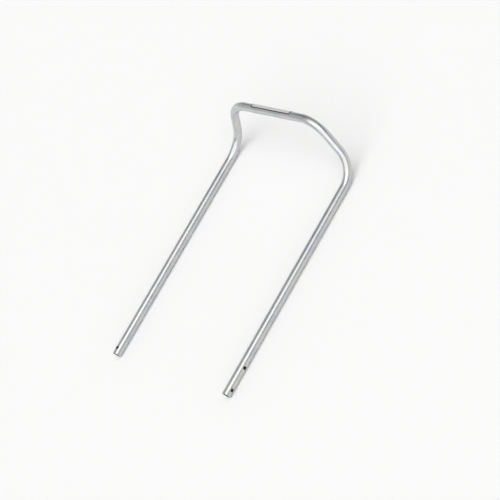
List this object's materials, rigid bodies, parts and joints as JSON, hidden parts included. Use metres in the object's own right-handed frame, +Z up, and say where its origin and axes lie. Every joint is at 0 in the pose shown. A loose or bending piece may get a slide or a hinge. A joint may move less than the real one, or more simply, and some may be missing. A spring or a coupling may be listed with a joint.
{
  "type": "mower handle",
  "caption": "Bent steel tube upper handle for a walk-behind mower: straight parallel legs drilled for bolts, and a raised grip bar that carries a blank label.",
  "frame": {"origin": "on the ground plane that the legs lie on, in the middle of the handle's outline", "axes": "+X across the legs, towards the leg with the pair of holes; +Y along the legs, towards the grip bar; +Z up, the way the grip frame rises"},
  "size_m": [0.5334, 0.7945, 0.1779],
  "materials": {
    "plated_steel": "satin",
    "label_film": "satin"
  },
  "bodies": {
    "root": {"handle_tube": "plated_steel", "grip_label": "label_film"}
  },
  "joints": []
}
